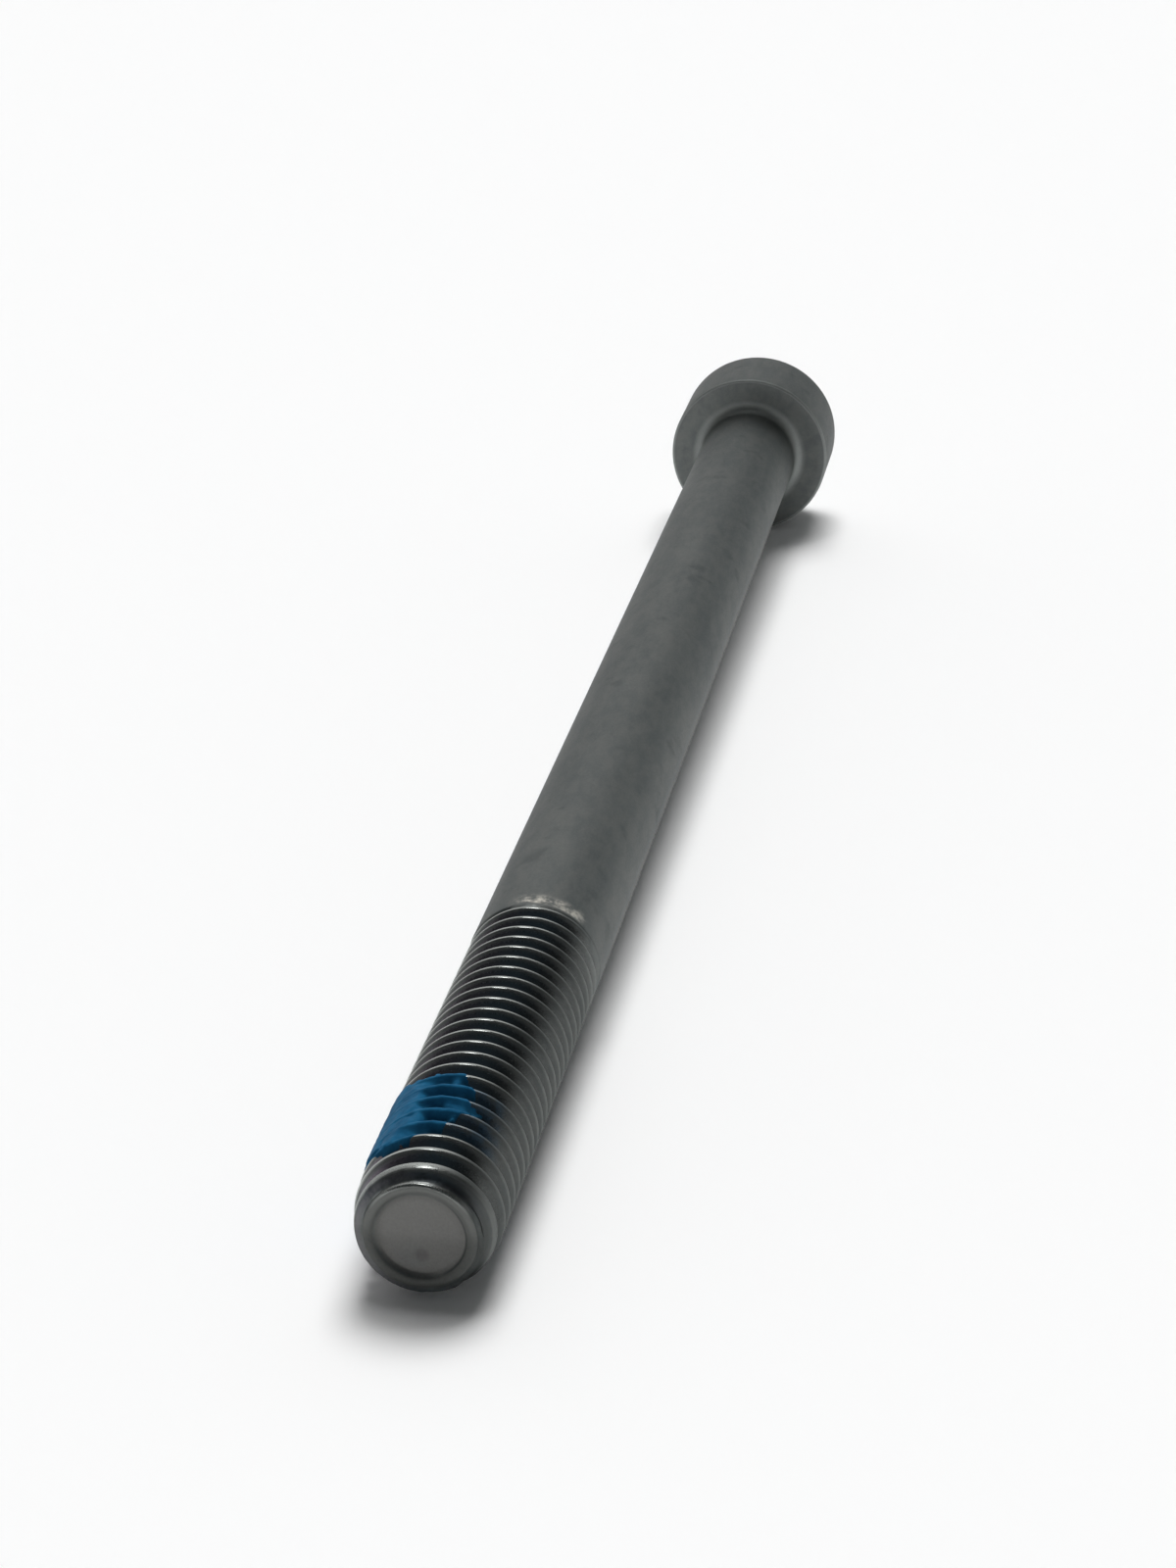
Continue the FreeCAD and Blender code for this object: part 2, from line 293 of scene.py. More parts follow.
# %% [markdown]
# ## The steel skin
# The bolt is one piece of metal. Head, shank and thread could be objects that overlap, but light would show
# the seams. So all rows are stacked in order, from the middle of the dished end to the bottom of the socket,
# and each pair of neighbours is joined with four-sided faces. Merging doubled points closes the seam, the two
# held ends of the thread and the two centres. Faces are smooth, and an edge that bends by more than the given
# angle is marked sharp, so flats stay flat and roundings stay round.

# %% Join rows into a mesh
WELD = 1e-6                # metres: doubled points lie closer than this
print("points closer than this are merged, mm:", WELD / MM)


def skin(name, places, radii, round_angles, sharp=40.0):
    """A mesh over rows of points, in the frame, with doubled points merged."""
    points = place(places, radii, np.broadcast_to(round_angles, places.shape))
    rows, columns = places.shape
    index = np.arange(rows * columns).reshape(rows, columns)
    quads = np.stack([index[:-1, :-1], index[:-1, 1:], index[1:, 1:], index[1:, :-1]], -1).reshape(-1, 4)
    mesh = bpy.data.meshes.new(name)
    mesh.from_pydata(points.reshape(-1, 3).tolist(), [], quads.tolist())
    shaped = bmesh.new()
    shaped.from_mesh(mesh)
    bmesh.ops.remove_doubles(shaped, verts=shaped.verts, dist=WELD)
    bmesh.ops.recalc_face_normals(shaped, faces=shaped.faces)
    open_edges = sum(1 for edge in shaped.edges if edge.is_boundary)
    shaped.to_mesh(mesh)
    shaped.free()
    mesh.polygons.foreach_set("use_smooth", np.ones(len(mesh.polygons), bool))
    mesh.set_sharp_from_angle(angle=math.radians(sharp))
    piece = bpy.data.objects.new(name, mesh)
    bpy.context.scene.collection.objects.link(piece)
    print(name + ":", len(mesh.polygons), "faces, open edges:", open_edges)
    return piece


# %% The bolt's skin
socket_places = np.array([p for p, _ in socket_rows])
socket_radii = np.array([r for _, r in socket_rows])
stretches = [(dish_places, dish_radii), (thread_places, thread_radii), ring_rows(shank_rings),
             ring_rows(neck_rings), ring_rows(head_rings), (socket_places, socket_radii)]
bolt_steel = skin("bolt_steel", np.concatenate([p for p, _ in stretches]),
                  np.concatenate([r for _, r in stretches]), angles)
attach(bolt_steel, "root")
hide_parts("bolt")

# %% [markdown]
# ## The locking patch
# The blue patch is nylon powder, sprayed on one side of the hot thread, where it melts. In the middle it
# fills the grooves and stands proud of the crests. Towards its edges it thins, so the grooves show again as
# darker dashes, and it ends ragged. It could be sculpted, but the thread's own rows with a thickness added
# follow every crest. Where the thickness drops below nothing the skin dips under the steel, and the line
# where it dips is the ragged edge.

# %% Soft noise for the ragged edge
NOISE_GRID = 64            # cells to a side before the noise repeats


def soft_noise(x, y, cells, seed):
    """Smooth noise between -1 and 1 over a plane, with so many cells in a mm, repeatable for a seed."""
    grid = np.random.default_rng(seed).uniform(-1, 1, (NOISE_GRID, NOISE_GRID))
    column, row = np.floor(x * cells).astype(int), np.floor(y * cells).astype(int)
    right, up = ease(x * cells - column), ease(y * cells - row)
    column, row = column % NOISE_GRID, row % NOISE_GRID
    next_column, next_row = (column + 1) % NOISE_GRID, (row + 1) % NOISE_GRID
    low = grid[column, row] * (1 - right) + grid[next_column, row] * right
    high = grid[column, next_row] * (1 - right) + grid[next_column, next_row] * right
    return low * (1 - up) + high * up


print("the noise repeats after so many cells:", NOISE_GRID)

# %% [markdown]
# ## Where the patch ends
# Three short curves draw the outline of the patch: the ends of its dashes on the +Y side, and its edges towards
# the thread end and towards the head. Each is a few pairs of a place along the bolt in mm and an angle from
# the top in degrees, so the outline could also be drawn by hand as a curve and read from it. The far side is
# out of sight in the photograph and ends where such a spray would.

# %% The outline of the patch
PATCH_LEFT = -150.0        # degrees from the top
PATCH_RIGHT = 40.0
PATCH_START = 1.6          # mm from the thread end, with some spare on both sides of the real edge
PATCH_STOP = 8.8
DEGREE_STEP = 1.25
right_edge = np.array([(2.0, -30), (2.6, -6), (3.0, 3), (3.6, 6), (4.3, 6), (4.75, 14), (5.0, 30),
                       (5.5, 31), (5.8, 16), (6.2, 12), (6.7, 15), (7.2, 13), (7.6, 9), (7.9, 6),
                       (8.15, -15), (8.45, -45)])
near_edge = np.array([(-150, 4.4), (-125, 3.6), (-100, 3.2), (-66, 3.1), (-50, 2.5), (-39, 2.2), (-9, 2.8),
                      (30, 3.3)])
far_edge = np.array([(-150, 7.0), (-125, 8.0), (-100, 8.3), (-62, 8.5), (-39, 8.4), (-24, 8.2), (-9, 8.0),
                     (30, 7.9)])

patch_angles = np.arange(PATCH_LEFT, PATCH_RIGHT + 0.1, DEGREE_STEP)
patch_places = helical_rows(PATCH_START, PATCH_STOP, patch_angles)
patch_round = np.broadcast_to(patch_angles, patch_places.shape)
print("patch rows and points in each:", patch_places.shape)

# %% [markdown]
# ## A ragged edge
# Sprayed powder has no clean border. A black and white picture could mask it, but its pixels would show close
# up. Here the smallest distance to any of the curves tells how far inside the patch a point is, in
# millimetres, and soft noise added to that distance makes the edge wander. Three layers of it give bays and
# teeth of about half a millimetre and crumbs of 0.2 mm.

# %% How far inside the patch each point lies
ARC_MM = math.pi / 180 * CREST_RADIUS      # one degree as mm round the crests
SPARE_LEFT = 0.6                           # mm: the spray ends this much inside the drawn rows
BAYS = (0.25, 1.9, 8)                      # how far the edge wanders in mm, cells in a mm, seed
TEETH = (0.15, 2.3, 3)
CRUMBS = (0.1, 6.0, 4)

along_arc = patch_round * ARC_MM


def ragged(distance, wander, cells, seed):
    """A distance from the edge, made uneven by so many millimetres."""
    return distance + wander * soft_noise(patch_places, along_arc, cells, seed)


edge_here = np.interp(patch_places, right_edge[:, 0], right_edge[:, 1], left=-90, right=-90)
inside_right = ragged((edge_here - patch_round) * ARC_MM, *BAYS)
inside_left = along_arc - PATCH_LEFT * ARC_MM - SPARE_LEFT
inside_near = patch_places - np.interp(patch_round, near_edge[:, 0], near_edge[:, 1])
inside_far = np.interp(patch_round, far_edge[:, 0], far_edge[:, 1]) - patch_places
inside = np.minimum(np.minimum(inside_right, inside_left), np.minimum(inside_near, inside_far))
inside = ragged(ragged(inside, *TEETH), *CRUMBS)
print("share of the points that lie inside the patch:", round(float((inside > 0).mean()), 2))

# %% [markdown]
# ## How thick the patch is
# Melted nylon levels itself like paint. A Solidify modifier would give it one thickness everywhere, as if it
# were a cloth. Well inside the real patch it reaches one height over crest and groove alike, so the fill is a
# radius and not a thickness. On the right, where less powder fell, the fill is lower and uneven, and the
# grooves show. A thin coat lies on the crests everywhere, and small lumps stay.

# %% The height of the nylon
GROOVE_FILL = 2.6          # radius up to which the powder fills a groove near the edge, on average
MIDDLE_FILL = 0.46         # how much higher it stands in the middle
FULL_FROM, FULL_OVER = -4.0, 34.0          # degrees: the patch grows full from here, over so many to the left
FILL_WAVES = 0.32          # how much the fill goes up and down near the edge, and how much less in the middle
CALMER_MIDDLE = 0.22
PROUD = 0.08               # the fill never stands higher over the crests than this
THIN_COAT = 0.035          # the coat on the crests at the edge, and what it gains over the next 1.6 mm
COAT_GAIN = 0.06
LUMP = 0.018

steel_here = steel_radius(patch_places, patch_round)
middle = ease((FULL_FROM - patch_round) / FULL_OVER) * ease(inside / 0.5)
waves = soft_noise(patch_places * 0.6, along_arc, 2.1, 5)
fill = GROOVE_FILL + MIDDLE_FILL * middle + (FILL_WAVES - CALMER_MIDDLE * middle) * waves
lumps = LUMP * soft_noise(patch_places, along_arc, 4.0, 6)
coat = steel_here + THIN_COAT + COAT_GAIN * ease(inside / 1.6)
nylon = np.maximum(coat, np.minimum(fill, CREST_RADIUS + PROUD)) + lumps
print("nylon over the steel inside the patch, mm:",
      round(float((nylon - steel_here)[inside > 0].min()), 3), "or more")

# %% The nylon skin
EDGE_WIDTH = 0.12          # mm over which the nylon rises from its edge
TUCK = 0.03                # how far its edge dips under the steel, over the first 0.06 mm
TUCK_WIDTH = 0.06
HIGHEST = 3.09             # a limit just under the CAD patch's outside of 3.10

nylon = np.where(inside > 0, nylon, steel_here)
nylon = steel_here + (nylon - steel_here) * ease(inside / EDGE_WIDTH) - TUCK * (1 - ease(inside / TUCK_WIDTH))
nylon_patch = skin("nylon_patch", patch_places, np.minimum(nylon, HIGHEST), patch_angles, sharp=75.0)
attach(nylon_patch, "root")
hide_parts("locking_patch")
print("thickest nylon, mm:", round(float((np.minimum(nylon, HIGHEST) - steel_here).max()), 2))

# %% [markdown]
# ## Colours and shader nodes
# Colours are written as the familiar hex codes and turned into the linear numbers that Blender works with.
# Nodes could be added and linked by hand in the Shader Editor. One small function adds any of them with its
# settings and links, so each material reads as a list and can be built again at any time.

# %% Colours from hex codes


def linear(code):
    """A hex colour such as "#606060" as linear red, green, blue and alpha."""
    channels = [int(code[i:i + 2], 16) / 255 for i in (1, 3, 5)]
    return [c / 12.92 if c <= 0.04045 else ((c + 0.055) / 1.055) ** 2.4 for c in channels] + [1.0]


print("middle grey in linear light:", round(linear("#808080")[0], 3))

# %% One function that adds a node


def add(tree, kind, inputs=None, **settings):
    """Add one node. An input is a plain value, a socket, or a node whose first output is used."""
    made = tree.nodes.new("ShaderNode" + kind)
    for name, value in settings.items():
        setattr(made, name, value)
    for name, value in (inputs or {}).items():
        if isinstance(value, bpy.types.Node):
            tree.links.new(value.outputs[0], made.inputs[name])
        elif isinstance(value, bpy.types.NodeSocket):
            tree.links.new(value, made.inputs[name])
        else:
            made.inputs[name].default_value = value
    return made


def new_material(name):
    """An empty node material, its node tree and its output."""
    material = bpy.data.materials.new(name)
    material.use_nodes = True
    tree = material.node_tree
    tree.nodes.clear()
    return material, tree, add(tree, "OutputMaterial")


print("node adder ready for Blender", bpy.app.version_string)

# %% [markdown]
# ## Masks: where a finish lies
# Wear and dirt have places: on the crests, in the grooves, right behind the thread. They could be painted on
# an image, but then they would blur close up. Here each place is said as a few limits in the bolt's own
# millimetres, such as "from 2.8 to 3.6 mm from the end it fades in", and the limits are multiplied. So one
# short line says where a finish lies, and it is sharp at any distance and stays put from every side.

# %% Bolt measures in a shader


def bolt_measures(tree):
    """The bolt's own millimetres in a shader: the position, mm from the thread end, mm from the axis, mm to
    its +Y side, and mm above the axis."""
    here = add(tree, "TexCoord").outputs["Object"]
    local = add(tree, "Mapping", {"Vector": here, "Location": seat, "Rotation": (0, dip, 0),
                                  "Scale": (MM, MM, MM)}, vector_type="TEXTURE")
    split = add(tree, "SeparateXYZ", {0: local})
    from_end = add(tree, "Math", {0: BOLT_LENGTH, 1: split.outputs[0]}, operation="SUBTRACT")
    off_axis = add(tree, "CombineXYZ", {"Y": split.outputs[1], "Z": split.outputs[2]})
    radius = add(tree, "VectorMath", {0: off_axis}, operation="LENGTH").outputs["Value"]
    return local.outputs[0], from_end.outputs[0], radius, split.outputs[1], split.outputs[2]


print("measured in the shader from the seat at", [round(c / MM, 2) for c in seat], "mm")

# %% Where a finish lies


def finish_mask(tree, *limits):
    """A mask: the product of its limits. A limit is a mask or a number as it is, or a value with the two
    places between which it goes softly from 0 to 1, with two more numbers if it goes between others."""
    mask = None
    for limit in limits:
        if isinstance(limit, tuple):
            value, low, high, *levels = limit
            at_low, at_high = levels or (0.0, 1.0)
            limit = add(tree, "MapRange", {"Value": value, "From Min": low, "From Max": high,
                                           "To Min": at_low, "To Max": at_high},
                        interpolation_type="SMOOTHSTEP")
        mask = limit if mask is None else add(tree, "Math", {0: mask, 1: limit}, operation="MULTIPLY")
    return mask


print("a limit goes softly from 0 to 1 unless it says otherwise")

# %% [markdown]
# ## Phosphated and oiled steel
# The bolt is a hardened alloy steel, dipped in hot phosphate and then in oil. The coat is a felt of dark grey
# crystals, so to the eye it is a dull metal: it mirrors the room softly, a little cold in colour, with faint
# clouds where the coat took unevenly. It is metallic, keeps the default IOR, and its roughness of about 0.5
# drops where it is worn bright or wet with oil. A scanned picture could give the unevenness, but noise sized
# in millimetres shows no seams. Drawing the rod out stretched the clouds and the mottle along the bolt.

# %% Patterns on the steel
COAT_PATTERNS = {          # length along the bolt and width in mm, then detail and roughness of the noise
    "clouds": (25 / 3, 5 / 3, 5.0, 0.6),         # uneven coating: stretches of 8.3 by 1.7 mm
    "mottle": (40 / 27, 2 / 3, 5.0, 0.65),       # spots of thinner coat: 1.5 by 0.7 mm
    "grain": (1 / 9, 1 / 9, 3.0, 0.7),           # crystals: really 0.01 mm, drawn at 0.11 mm so that they show
    "rub": (0.5, 0.5, 6.0, 0.7),                 # the torn edge of a scuff: half a pitch
    "smudges": (5 / 3, 5 / 3, 2.0, 0.55),        # spots of oil left by fingers: 1.7 mm
}
steel, tree, output = new_material("oiled_phosphated_steel")
local, from_end, radius, sideways, above = bolt_measures(tree)
pattern = {}
for name, (length, width, detail, roughness) in COAT_PATTERNS.items():
    sized = add(tree, "Mapping", {"Vector": local, "Scale": (1 / length, 1 / width, 1 / width)})
    pattern[name] = add(tree, "TexNoise", {"Vector": sized, "Scale": 1.0, "Detail": detail,
                                           "Roughness": roughness}).outputs["Fac"]
print("patterns on the steel:", ", ".join(pattern))

# %% [markdown]
# ## Wear and oil on the thread
# Crests touch nuts and boxes, so their coat is rubbed off and they shine. Grooves hold oil, a gloss whose tint
# by side is painted reflection: plum on the -Y side, blue in the middle and grey on the +Y side. On the +Y side
# the thread is drawn darker, its crests are less bare and duller, and its roots get painted shade. The Geometry
# node's Pointiness could find crests and grooves, but it changes with the mesh. The distance from the axis
# doesn't, so it tells them apart here. On the taper the crests are lower, so that distance is raised by as
# much.

# %% Masks of the thread
on_thread = finish_mask(tree, (from_end, THREAD_LENGTH - 0.05, THREAD_LENGTH - 0.25))
lost_height = finish_mask(tree, (from_end, 0.4, FULL_THREAD, 0.27, 0.0))
risen = add(tree, "Math", {0: radius, 1: lost_height}, operation="ADD")
crest = finish_mask(tree, (risen, CREST_RADIUS - 0.07, CREST_RADIUS - 0.01), on_thread)
groove = finish_mask(tree, (risen, 2.9, 2.72), on_thread, (from_end, 0.2, 0.5))
# A mask of the +Y side of the bolt.
plus_y_side = finish_mask(tree, (sideways, 0.4, 1.9))
# Painted shade in the roots of the thread on the +Y side.
root = finish_mask(tree, (risen, ROOT_RADIUS + 0.17, ROOT_RADIUS + 0.06), on_thread, plus_y_side, 0.85)
# The thread is drawn darker on its +Y side, up to 20 mm from the end.
darker_plus_y_thread = finish_mask(tree, plus_y_side, (from_end, 24.0, 20.0), on_thread, 0.53)
bare = finish_mask(tree, crest, (sideways, 0.4, 1.9, 0.95, 0.15))

# Oil in the grooves. Its tint by side is painted reflection: plum on -Y, blue in the middle, grey on +Y.
groove_oil_and_painted_reflection = linear("#837a86")
for mask, tone in [(finish_mask(tree, (sideways, -1.2, 0.3)), "#6b7e8b"), (plus_y_side, "#555756")]:
    groove_oil_and_painted_reflection = add(tree, "Mix", {0: mask, 6: groove_oil_and_painted_reflection, 7: linear(tone)}, data_type="RGBA").outputs[2]
print("nodes so far:", len(tree.nodes))

# %% [markdown]
# ## Marks on the rest of the bolt
# The dies scuff the shank bright right behind the thread. The scuff is drawn only on top, where it is also a
# painted highlight. A little nylon dust made a thin blue film beside the patch. The sheared end was pressed
# smooth and is paler. A small dimple is drawn only as a darker spot of painted shade, and the deep side of the
# dish gets a dark crescent of painted shade. Mottled painted shade darkens the top of the nose next to the
# first groove, and the top of the ridge is painted lighter as a highlight. The edge of the seat and the hollow
# of the neck are worn by handling and by the washer, and their paler colour is partly a painted highlight. Such
# marks could be pictures laid on like stickers. As masks they need no unwrapping and keep their place in
# millimetres.

# %% Masks of the marks
film = finish_mask(tree, (from_end, 2.8, 3.6), (from_end, 7.8, 6.8), (sideways, 0.0, 0.4),
                   (sideways, 2.4, 1.4), (pattern["mottle"], 0.38, 0.6, 0.1, 0.42))
# The scuff behind the thread, drawn only on top, where it is also a painted highlight.
scuff_and_painted_highlight = finish_mask(tree, (from_end, 25.3, 24.5), (from_end, 24.05, 24.25), (sideways, -1.3, -0.3),
                     (sideways, 2.4, 1.7), (above, 0.0, 1.0), (pattern["rub"], 0.4, 0.66))
smudged = finish_mask(tree, (pattern["smudges"], 0.61, 0.76), (from_end, 25.0, 26.0), 0.4)

end_face = finish_mask(tree, (from_end, 0.34, 0.28), (radius, 1.82, 1.7))
# A darker spot of painted shade for a small dimple that the mesh doesn't have.
to_dimple_shade = add(tree, "VectorMath", {0: local, 1: (BOLT_LENGTH - 0.26, 0.02, -0.9)}, operation="DISTANCE")
painted_dimple_shade = finish_mask(tree, (to_dimple_shade.outputs["Value"], 0.42, 0.1), 0.3)
# Mottled painted shade on top of the nose, next to the first groove.
painted_nose_shade = finish_mask(tree, (radius, 2.12, 2.3), (from_end, 0.75, 0.35), (above, 0.3, 1.6),
                        (pattern["mottle"], 0.35, 0.6, 0.25, 0.9))
rim = finish_mask(tree, (from_end, 0.12, 0.06), (radius, 1.72, 1.84))
# A dark crescent of painted shade on the dish's deep side, between its floor and its ridge.
deep_way = (0.0, -0.42, -0.907)
to_deep = add(tree, "VectorMath", {0: local, 1: deep_way}, operation="DOT_PRODUCT").outputs["Value"]
painted_dish_shade = finish_mask(tree, (radius, 1.64, 1.72), (radius, 1.92, 1.82), (to_deep, 1.1, 1.55),
                       (from_end, 0.5, 0.4), 0.4)

# The worn seat edge and neck hollow are painted paler, partly as a painted highlight that lifts dark lines
# there.
seat_edge = finish_mask(tree, (radius, HEAD_RADIUS - 0.19, HEAD_RADIUS - 0.11),
                        (from_end, BOLT_LENGTH + 0.3, BOLT_LENGTH + 0.12), 0.8)
neck = finish_mask(tree, (from_end, BOLT_LENGTH - 0.8, BOLT_LENGTH - 0.45), (radius, 3.7, 3.3), 0.7)
worn_edges_and_painted_highlight = add(tree, "Math", {0: seat_edge, 1: neck}, operation="MAXIMUM")
# The top of the ridge is painted lighter as a painted highlight. The same mask makes it smoother.
ridge_top_polish_and_highlight = finish_mask(tree, (from_end, 0.28, 0.18), (radius, 2.1, 2.2), (above, 0.9, 1.9))
print("nodes so far:", len(tree.nodes))

# %% [markdown]
# ## Lay the colours over each other
# The coat comes first and each finish lies over what came before, as on the real bolt. One shader per finish
# could be mixed too, but they are all the same metal, so mixing their colours is enough and renders faster.
# A Mix node's colours are its inputs 6 and 7, and its mixed colour is output 2.

# %% The steel's colour
# Painted light among these layers: the oil's tint by side is painted reflection, the roots, the dimple, the
# nose top and the crescent are painted shade, and the scuff, the worn edges and the ridge top carry painted
# highlight.
coat_layers = [
    (finish_mask(tree, (pattern["clouds"], 0.3, 0.7)), linear("#737776")),
    (finish_mask(tree, (pattern["mottle"], 0.35, 0.65, 0.0, 0.3)), linear("#8a8a86")),
    (finish_mask(tree, groove, 0.8), groove_oil_and_painted_reflection),
    (root, linear("#24292b")),
    (darker_plus_y_thread, linear("#3c3f3e")),
    (bare, linear("#b4b8b5")),
    (film, linear("#2a6488")),
    (scuff_and_painted_highlight, linear("#dedad0")),
    (smudged, linear("#4d5355")),
    (end_face, linear("#838381")),
    (painted_dimple_shade, linear("#4a4a49")),
    (painted_nose_shade, linear("#474b50")),
    (rim, linear("#6b6d6b")),
    (painted_dish_shade, linear("#2b2e32")),
    (worn_edges_and_painted_highlight, linear("#a4a8a6")),
    (finish_mask(tree, ridge_top_polish_and_highlight, 0.8), linear("#b4b8b5")),
]
steel_colour = linear("#686d6d")
for mask, tone in coat_layers:
    steel_colour = add(tree, "Mix", {0: mask, 6: steel_colour, 7: tone}, data_type="RGBA").outputs[2]
print("colour layers on the steel:", len(coat_layers))

# %% [markdown]
# ## How rough the steel is
# The bare coat scatters light, and its grain makes the roughness a little uneven. Rubbed crests and oiled
# grooves are smoother, so they mirror the room more clearly: its bright panel on the crests and its dark side
# in the grooves. The end face, the lower nose and the worn edges are duller than the coat. One number for all
# would make the bolt look like painted plastic, so the masks above steer the roughness too. A specular tint
# of 0.6 keeps the steel from whitening where it is seen at a slant.

# %% The steel's gloss and its shader
GLOSS = 0.34               # how much roughness polish takes away
DULLNESS = 0.22            # how much wear without polish adds

wet_groove = finish_mask(tree, groove, (sideways, 0.4, 1.9, 0.88, 0.7))
shiny = add(tree, "Math", {0: bare, 1: wet_groove}, operation="MAXIMUM")
shiny = finish_mask(tree, shiny, (from_end, 0.5, 2.2, 0.62, 1.0))
polish = add(tree, "Math", {0: shiny, 1: finish_mask(tree, ridge_top_polish_and_highlight, 0.65)}, operation="MAXIMUM")
dull = finish_mask(tree, (from_end, 0.75, 0.35), (above, 0.8, -0.4))
for duller in (finish_mask(tree, worn_edges_and_painted_highlight, 0.9), finish_mask(tree, end_face, 0.7)):
    dull = add(tree, "Math", {0: dull, 1: duller}, operation="MAXIMUM")
uneven_coat = finish_mask(tree, (pattern["grain"], 0.3, 0.7, 0.44, 0.52))
smoothed = add(tree, "Math", {0: uneven_coat, 1: finish_mask(tree, polish, GLOSS)}, operation="SUBTRACT")
rough = add(tree, "Math", {0: smoothed, 1: finish_mask(tree, dull, DULLNESS)}, operation="ADD")
relief = add(tree, "Bump", {"Height": pattern["grain"], "Strength": 0.12, "Distance": 0.02 * MM})
shader = add(tree, "BsdfPrincipled", {"Base Color": steel_colour, "Metallic": 1.0, "Roughness": rough,
                                      "Specular Tint": (0.6, 0.6, 0.6, 1.0), "Normal": relief})
tree.links.new(shader.outputs[0], output.inputs["Surface"])
bolt_steel.data.materials.append(steel)
print(steel.name + ":", len(tree.nodes), "nodes")

# %% [markdown]
# ## Blue nylon powder
# Nylon 11 powder, melted on the hot thread, is a soft, matt plastic. It isn't metallic, it is rough and it
# hardly shines. Thick parts are a full blue. Where it is thin over a groove, the dark steel shows through and
# it turns to a deep navy. A see-through shader could do that, but two blues mixed by height give the same to
# the eye and stay plain. The blue drifts over spots of 0.7 mm. The grains of the powder leave pits: really
# about 0.1 mm across, they are drawn at 0.17 mm so that they show.

# %% The nylon's nodes
BLUE_SPOT = 5 / 7          # mm
PIT = 1 / 6                # mm
nylon_blue, tree, output = new_material("blue_nylon_powder")
local, _, radius, _, _ = bolt_measures(tree)
spots = add(tree, "TexNoise", {"Vector": local, "Scale": 1 / BLUE_SPOT, "Detail": 4.0, "Roughness": 0.6})
pits = add(tree, "TexNoise", {"Vector": local, "Scale": 1 / PIT, "Detail": 2.0})
lighter = finish_mask(tree, (spots.outputs["Fac"], 0.35, 0.65))
full_blue = add(tree, "Mix", {0: lighter, 6: linear("#124e70"), 7: linear("#1a5c80")}, data_type="RGBA")
thick = finish_mask(tree, (radius, GROOVE_FILL, 2.85))
blue = add(tree, "Mix", {0: thick, 6: linear("#0f3e57"), 7: full_blue.outputs[2]}, data_type="RGBA")
relief = add(tree, "Bump", {"Height": pits.outputs["Fac"], "Strength": 0.3, "Distance": 0.03 * MM})
shader = add(tree, "BsdfPrincipled", {"Base Color": blue.outputs[2], "Roughness": 0.75,
                                      "Specular IOR Level": 0.12, "Normal": relief})
tree.links.new(shader.outputs[0], output.inputs["Surface"])
nylon_patch.data.materials.append(nylon_blue)
print(nylon_blue.name + ":", len(tree.nodes), "nodes")

# %% [markdown]
# ## The table
# A plain sheet with matt white paint that is much larger than the view. It could have an edge and a
# backdrop, but it only has to catch the soft shadow, so it is one face. The paint scatters light evenly and
# has no gloss.

# %% A white floor
REACH = 3.0                # metres to each side
corners = [(-REACH, -REACH, 0), (REACH, -REACH, 0), (REACH, REACH, 0), (-REACH, REACH, 0)]
floor_mesh = bpy.data.meshes.new("floor")
floor_mesh.from_pydata(corners, [], [(0, 1, 2, 3)])
floor = bpy.data.objects.new("floor", floor_mesh)
bpy.context.scene.collection.objects.link(floor)
white, tree, output = new_material("white_painted_table")
shader = add(tree, "BsdfDiffuse", {"Color": linear("#fbfbfb")})
tree.links.new(shader.outputs[0], output.inputs["Surface"])
floor_mesh.materials.append(white)
print("table, m across:", 2 * REACH)

# %% [markdown]
# ## The lamp
# One wide soft lamp shines from high above, slanting from the head end, and throws the shadow towards the tip
# and to both sides. An area lamp would do, but a sun lamp is simpler: one direction, and one angle for its
# softness. It is hidden from reflections, because its image would glare on the polished crests. The room
# gives the highlights instead.

# %% A soft overhead lamp
lamp = bpy.data.lights.new("overhead_lamp", "SUN")
lamp.energy = 2.34
lamp.angle = math.radians(30)
lamp_object = bpy.data.objects.new("overhead_lamp", lamp)
bpy.context.scene.collection.objects.link(lamp_object)
lamp_object.visible_glossy = False
lamp_from = Vector((-0.6, 0.01, 1.0))
lamp_object.rotation_euler = lamp_from.to_track_quat("Z", "Y").to_euler()
lamp_slant = math.degrees(lamp_from.angle(Vector((0, 0, 1))))
print("lamp's slant from straight above, degrees:", round(lamp_slant, 1))

# %% [markdown]
# ## The room
# Metal shows what is round it, so the room matters as much as the lamp. It could be a picture of a studio,
# but a few soft round patches in the World's colour are enough, each given by its direction and by the
# cosines between which it fades in. The room is pale near the floor and darker above. A pale window beyond
# the head end shows along the top of the shank, with a second pale stretch beside it. Beyond the thread end
# the room is dark, which is why grooves that face that way turn nearly black. A small bright panel overhead
# draws the short dashes on the crests and on the nose.

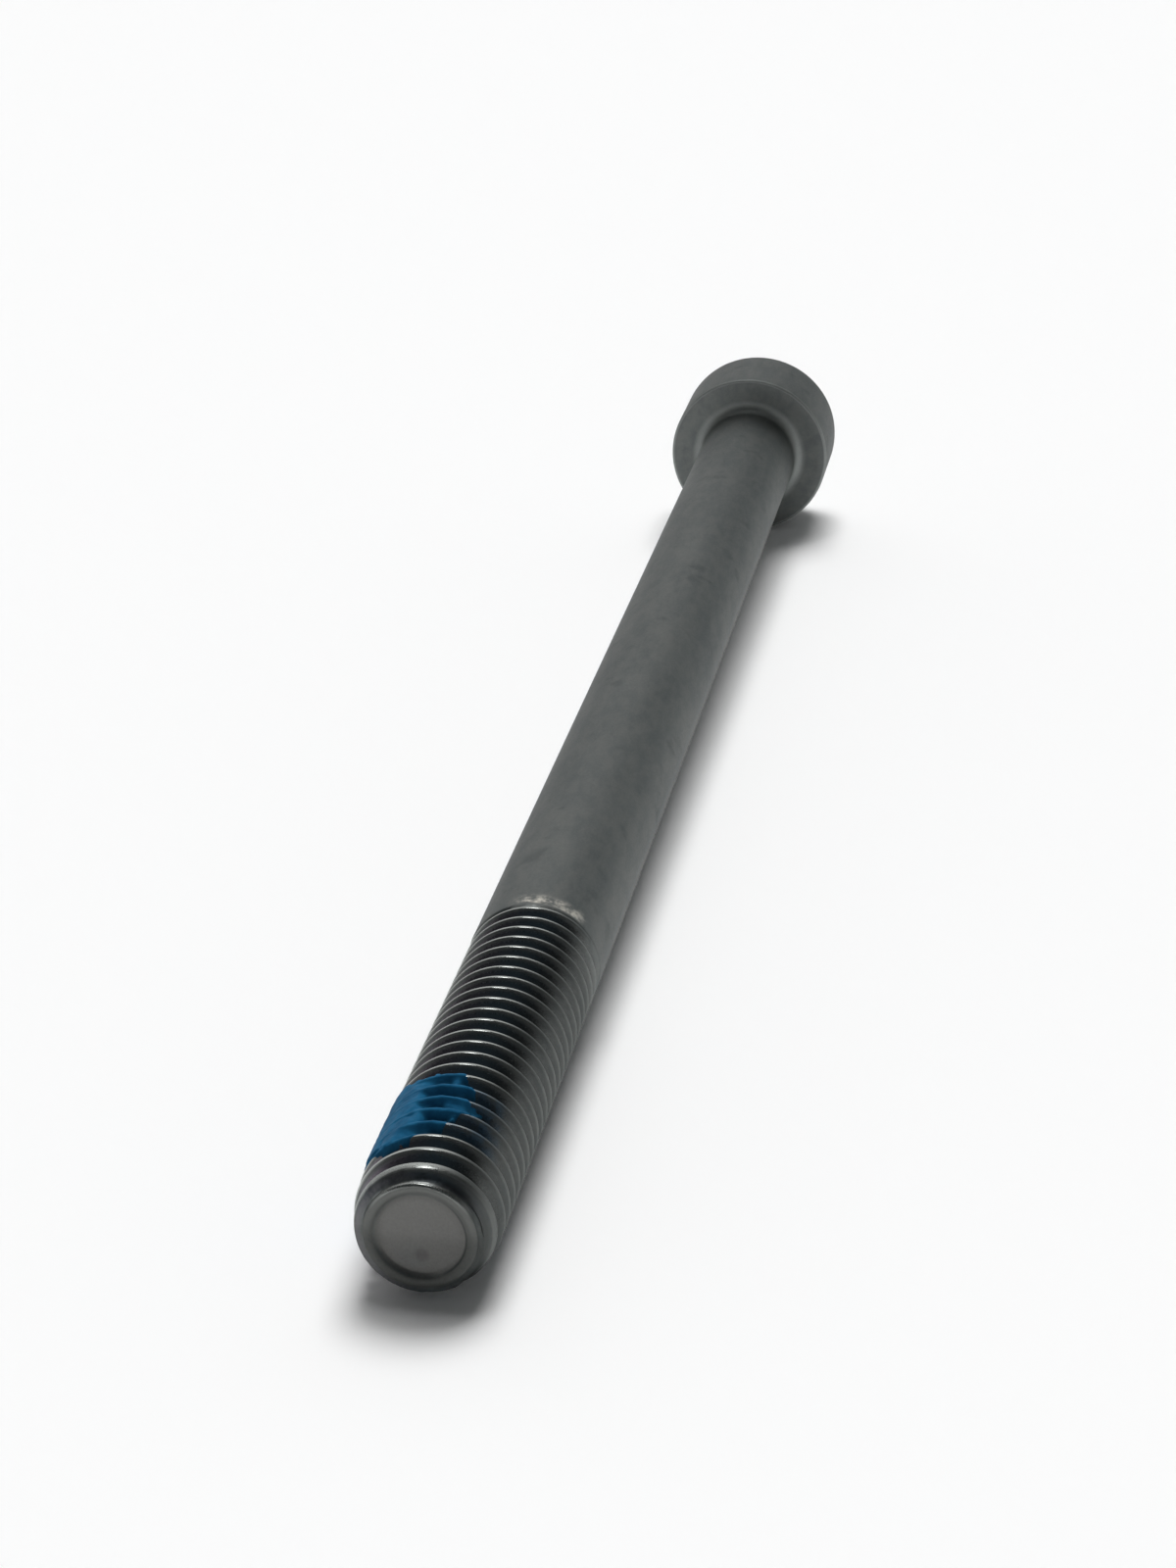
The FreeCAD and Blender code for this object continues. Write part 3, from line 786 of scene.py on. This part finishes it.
# %% The room's light
ROOM_STRENGTH = 0.9
PANEL_BRIGHTNESS = 9.0
world = bpy.data.worlds.new("room")
bpy.context.scene.world = world
world.use_nodes = True
tree = world.node_tree
tree.nodes.clear()
direction = add(tree, "TexCoord").outputs["Generated"]
height = add(tree, "SeparateXYZ", {0: direction}).outputs[2]
towards = {"tip_side": (0.86, 0.19, 0.48), "head_side": (-0.88, -0.22, 0.42),
           "far_right": (-0.86, 0.46, 0.22), "panel": (-0.17, -0.1, 1.0)}
facing = {}
for name, way in towards.items():
    facing[name] = add(tree, "VectorMath", {0: direction, 1: Vector(way).normalized()},
                       operation="DOT_PRODUCT").outputs["Value"]
room_layers = [
    (finish_mask(tree, (height, 0.0, 0.6)), linear("#3c3c3c")),
    (finish_mask(tree, (facing["head_side"], 0.6, 0.95)), linear("#ffffff")),
    (finish_mask(tree, (facing["far_right"], 0.885, 0.985)), linear("#dadedf")),
    (finish_mask(tree, (facing["tip_side"], 0.48, 0.66), (height, 0.1, 0.16)), linear("#444748")),
    (finish_mask(tree, (facing["panel"], 0.986, 0.996)), [PANEL_BRIGHTNESS] * 3 + [1.0]),
]
room_colour = linear("#d4d4d4")
for mask, tone in room_layers:
    room_colour = add(tree, "Mix", {0: mask, 6: room_colour, 7: tone}, data_type="RGBA").outputs[2]
background = add(tree, "Background", {"Color": room_colour, "Strength": ROOM_STRENGTH})
room_output = add(tree, "OutputWorld")
tree.links.new(background.outputs[0], room_output.inputs["Surface"])
print("room:", len(room_layers), "parts over the pale horizon,", len(tree.nodes), "nodes")

# %% [markdown]
# ## Camera
# The camera stands close in front of the thread end and looks down along the bolt, so the near end is large
# and the head looks small and far. It could be placed by eye over the photo, but then place and lens would
# make up for each other's faults. Both were worked out instead: the spacing of the crests, the outline of the
# shank and the round of the head fix them. The camera has no tilt to either side, so its right-hand direction
# is level.

# %% The photo's viewpoint
PHOTO_HEIGHT = 1600        # pixels
FOCAL_PIXELS = 3553.21     # the lens, measured in the photo's pixels
camera = bpy.data.cameras.new("camera")
camera.sensor_fit = "VERTICAL"
camera.sensor_height = 36.0
camera.lens = FOCAL_PIXELS / PHOTO_HEIGHT * camera.sensor_height
camera.clip_start = 0.005
camera_object = bpy.data.objects.new("camera", camera)
right = Vector((-0.1666263, 0.98602012, 0.0))
up = Vector((-0.36234879, -0.06123287, 0.93002897))
back = right.cross(up)
stand = Matrix.Translation((0.16639417, 0.02562158, 0.06718245))
camera_object.matrix_world = stand @ Matrix((right, up, back)).transposed().to_4x4()
bpy.context.scene.collection.objects.link(camera_object)
bpy.context.scene.camera = camera_object
bpy.context.scene.view_settings.view_transform = "Standard"
print("lens, mm:", round(camera.lens, 2))
print("looking down, degrees:", round(math.degrees(math.asin(back.z)), 1))

# %% [markdown]
# ## Update the scene
# The visual model has to stay inside the CAD model's box.

# %% Update the scene
bpy.context.view_layer.update()
